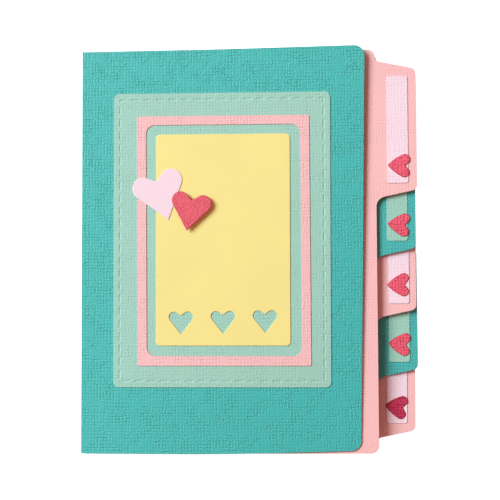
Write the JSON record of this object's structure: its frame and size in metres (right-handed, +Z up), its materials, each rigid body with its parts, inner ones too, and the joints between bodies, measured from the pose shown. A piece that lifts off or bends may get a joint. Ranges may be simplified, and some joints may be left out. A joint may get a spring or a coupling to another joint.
{
  "type": "tabbed card album",
  "caption": "Closed wrap-cover card album with a pleated binding, staggered tab leaves with labels and hearts, and a layered mat, window frame, heart-cut panel and raised heart on the front.",
  "frame": {"origin": "centre of the underside of the back cover, where the closed album rests", "axes": "+Z up out of the front cover, +X from the spine to the tabs, +Y to the head of the album"},
  "size_m": [0.1486, 0.1804, 0.0143],
  "materials": {
    "teal_cover_card": "matte",
    "teal_leaf_card": "matte",
    "teal_strip_paper": "matte",
    "mint_card": "matte",
    "pink_card": "matte",
    "blush_card": "matte",
    "yellow_card": "matte",
    "red_card": "matte",
    "white_foam": "matte"
  },
  "bodies": {
    "back": {"back_cover": "teal_cover_card"},
    "backbone": {"spine": "teal_cover_card", "binding_strip": "teal_strip_paper"},
    "front": {"front_cover": "teal_cover_card", "stitched_mat": "mint_card", "window_frame": "pink_card", "centre_panel": "yellow_card", "large_heart": "blush_card", "foam_square": "white_foam", "raised_heart": "red_card"},
    "page_1": {"pleat_1": "teal_strip_paper", "leaf_1": "pink_card", "label_1": "blush_card", "tab_heart_1": "red_card"},
    "page_2": {"pleat_2": "teal_strip_paper", "leaf_2": "teal_leaf_card", "label_2": "mint_card", "tab_heart_2": "red_card"},
    "page_3": {"pleat_3": "teal_strip_paper", "leaf_3": "pink_card", "label_3": "blush_card", "tab_heart_3": "red_card"},
    "page_4": {"pleat_4": "teal_strip_paper", "leaf_4": "teal_leaf_card", "label_4": "mint_card", "tab_heart_4": "red_card"},
    "page_5": {"pleat_5": "teal_strip_paper", "leaf_5": "pink_card", "label_5": "blush_card", "tab_heart_5": "red_card"}
  },
  "joints": [
    {"name": "back_crease", "type": "hinge", "parent": "back", "child": "backbone", "pos_m": [-0.06175, 0, 0.00025], "axis": [0, -1, 0], "range_deg": [0, 90]},
    {"name": "front_crease", "type": "hinge", "parent": "backbone", "child": "front", "pos_m": [-0.06175, 0, 0.00675], "axis": [0, -1, 0], "range_deg": [0, 82]},
    {"name": "leaf_1_turn", "type": "hinge", "parent": "backbone", "child": "page_1", "pos_m": [-0.06115, 0, 0.0055], "axis": [0, -1, 0], "range_deg": [0, 61.5]},
    {"name": "leaf_2_turn", "type": "hinge", "parent": "backbone", "child": "page_2", "pos_m": [-0.06115, 0, 0.0045], "axis": [0, -1, 0], "range_deg": [0, 41]},
    {"name": "leaf_3_turn", "type": "hinge", "parent": "backbone", "child": "page_3", "pos_m": [-0.06115, 0, 0.0035], "axis": [0, -1, 0], "range_deg": [0, 20.5]},
    {"name": "leaf_4_turn", "type": "hinge", "parent": "backbone", "child": "page_4", "pos_m": [-0.06115, 0, 0.0025], "axis": [0, -1, 0], "range_deg": [-30, 0]},
    {"name": "leaf_5_turn", "type": "hinge", "parent": "backbone", "child": "page_5", "pos_m": [-0.06115, 0, 0.0015], "axis": [0, -1, 0], "range_deg": [-60, 0]}
  ],
  "couplings": [
    {"joint": "leaf_1_turn", "follows": "front_crease", "ratio": 0.75},
    {"joint": "leaf_2_turn", "follows": "front_crease", "ratio": 0.5},
    {"joint": "leaf_3_turn", "follows": "front_crease", "ratio": 0.25},
    {"joint": "leaf_4_turn", "follows": "back_crease", "ratio": -0.3333},
    {"joint": "leaf_5_turn", "follows": "back_crease", "ratio": -0.6666}
  ]
}
